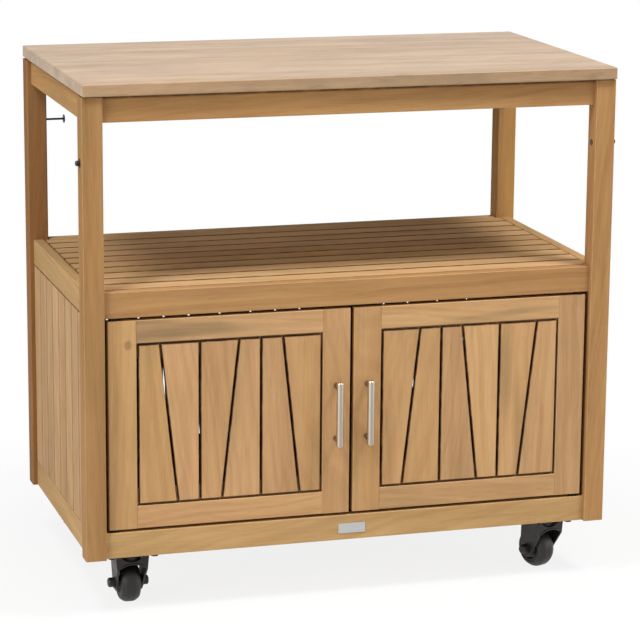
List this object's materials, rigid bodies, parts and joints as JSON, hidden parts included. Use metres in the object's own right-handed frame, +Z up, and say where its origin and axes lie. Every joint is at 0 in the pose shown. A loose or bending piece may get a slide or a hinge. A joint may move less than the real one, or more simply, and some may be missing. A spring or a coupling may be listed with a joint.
{
  "type": "outdoor kitchen cabinet",
  "caption": "Wooden outdoor kitchen cabinet on swivel casters: thick worktop, open bay, slatted shelf and a two-door cupboard with tapering plank panels and bar handles",
  "frame": {"origin": "on the floor, below the middle of the box around the whole cabinet with its handles", "axes": "+X to the right along the width, -Y to the front where the doors are, +Z up"},
  "size_m": [1.016, 0.578, 0.974],
  "materials": {
    "frame_wood": "oiled, honey brown",
    "panel_wood": "oiled, honey brown",
    "door_wood": "oiled, honey brown",
    "shelf_wood": "oiled, honey brown",
    "worktop_wood": "pale, dry, unoiled",
    "handle_steel": "brushed",
    "zinc_steel": "zinc plated",
    "black_steel": "black powder coat",
    "wheel_rubber": "black, matt",
    "nylon": "dark grey nylon"
  },
  "bodies": {
    "cabinet": {"front_left_post": "frame_wood", "front_right_post": "frame_wood", "back_left_post": "frame_wood", "back_right_post": "frame_wood", "front_bottom_rail": "frame_wood", "front_shelf_rail": "frame_wood", "front_apron": "frame_wood", "back_bottom_rail": "frame_wood", "back_shelf_rail": "frame_wood", "back_apron": "frame_wood", "left_bottom_rail": "frame_wood", "left_shelf_rail": "frame_wood", "left_apron": "frame_wood", "right_bottom_rail": "frame_wood", "right_shelf_rail": "frame_wood", "right_apron": "frame_wood", "worktop": "worktop_wood", "shelf_slats": "shelf_wood", "shelf_bearers": "frame_wood", "left_side_boards": "panel_wood", "right_side_boards": "panel_wood", "back_planks": "panel_wood", "back_battens": "frame_wood", "floor_boards": "panel_wood", "floor_bearers": "frame_wood", "pivot_bushes": "nylon", "magnetic_catch": "nylon", "rail_plate": "handle_steel", "utensil_peg": "black_steel", "post_bolts": "black_steel", "caster_plates": "black_steel", "caster_bolts": "black_steel"},
    "left_door": {"left_door_stiles": "door_wood", "left_door_rails": "door_wood", "left_door_planks": "door_wood", "left_door_battens": "door_wood", "left_hinge_pins": "zinc_steel", "left_handle": "handle_steel", "left_handle_screws": "zinc_steel", "left_strike_plate": "zinc_steel"},
    "right_door": {"right_door_stiles": "door_wood", "right_door_rails": "door_wood", "right_door_planks": "door_wood", "right_door_battens": "door_wood", "right_hinge_pins": "zinc_steel", "right_handle": "handle_steel", "right_handle_screws": "zinc_steel", "right_strike_plate": "zinc_steel"},
    "front_left_swivel": {"front_left_fork": "black_steel", "front_left_axle": "black_steel"},
    "front_left_roller": {"front_left_wheel": "wheel_rubber"},
    "front_right_swivel": {"front_right_fork": "black_steel", "front_right_axle": "black_steel"},
    "front_right_roller": {"front_right_wheel": "wheel_rubber"},
    "back_left_swivel": {"back_left_fork": "black_steel", "back_left_axle": "black_steel"},
    "back_left_roller": {"back_left_wheel": "wheel_rubber"},
    "back_right_swivel": {"back_right_fork": "black_steel", "back_right_axle": "black_steel"},
    "back_right_roller": {"back_right_wheel": "wheel_rubber"}
  },
  "joints": [
    {"name": "left_door_hinge", "type": "hinge", "parent": "cabinet", "child": "left_door", "pos_m": [-0.443, -0.249, 0.3545], "axis": [0, 0, -1], "range_deg": [0, 105]},
    {"name": "right_door_hinge", "type": "hinge", "parent": "cabinet", "child": "right_door", "pos_m": [0.443, -0.249, 0.3545], "axis": [0, 0, 1], "range_deg": [0, 105]},
    {"name": "front_left_swivel", "type": "hinge", "parent": "cabinet", "child": "front_left_swivel", "pos_m": [-0.405, -0.197, 0.09], "axis": [0, 0, 1], "continuous": true},
    {"name": "front_left_wheel_spin", "type": "hinge", "parent": "front_left_swivel", "child": "front_left_roller", "pos_m": [-0.405, -0.181, 0.0375], "axis": [1, 0, 0], "continuous": true},
    {"name": "front_right_swivel", "type": "hinge", "parent": "cabinet", "child": "front_right_swivel", "pos_m": [0.405, -0.197, 0.09], "axis": [0, 0, 1], "continuous": true},
    {"name": "front_right_wheel_spin", "type": "hinge", "parent": "front_right_swivel", "child": "front_right_roller", "pos_m": [0.39979, -0.18187, 0.0375], "axis": [0.9455, 0.3256, 0], "continuous": true},
    {"name": "back_left_swivel", "type": "hinge", "parent": "cabinet", "child": "back_left_swivel", "pos_m": [-0.405, 0.213, 0.09], "axis": [0, 0, 1], "continuous": true},
    {"name": "back_left_wheel_spin", "type": "hinge", "parent": "back_left_swivel", "child": "back_left_roller", "pos_m": [-0.405, 0.229, 0.0375], "axis": [1, 0, 0], "continuous": true},
    {"name": "back_right_swivel", "type": "hinge", "parent": "cabinet", "child": "back_right_swivel", "pos_m": [0.405, 0.213, 0.09], "axis": [0, 0, 1], "continuous": true},
    {"name": "back_right_wheel_spin", "type": "hinge", "parent": "back_right_swivel", "child": "back_right_roller", "pos_m": [0.405, 0.229, 0.0375], "axis": [1, 0, 0], "continuous": true}
  ]
}
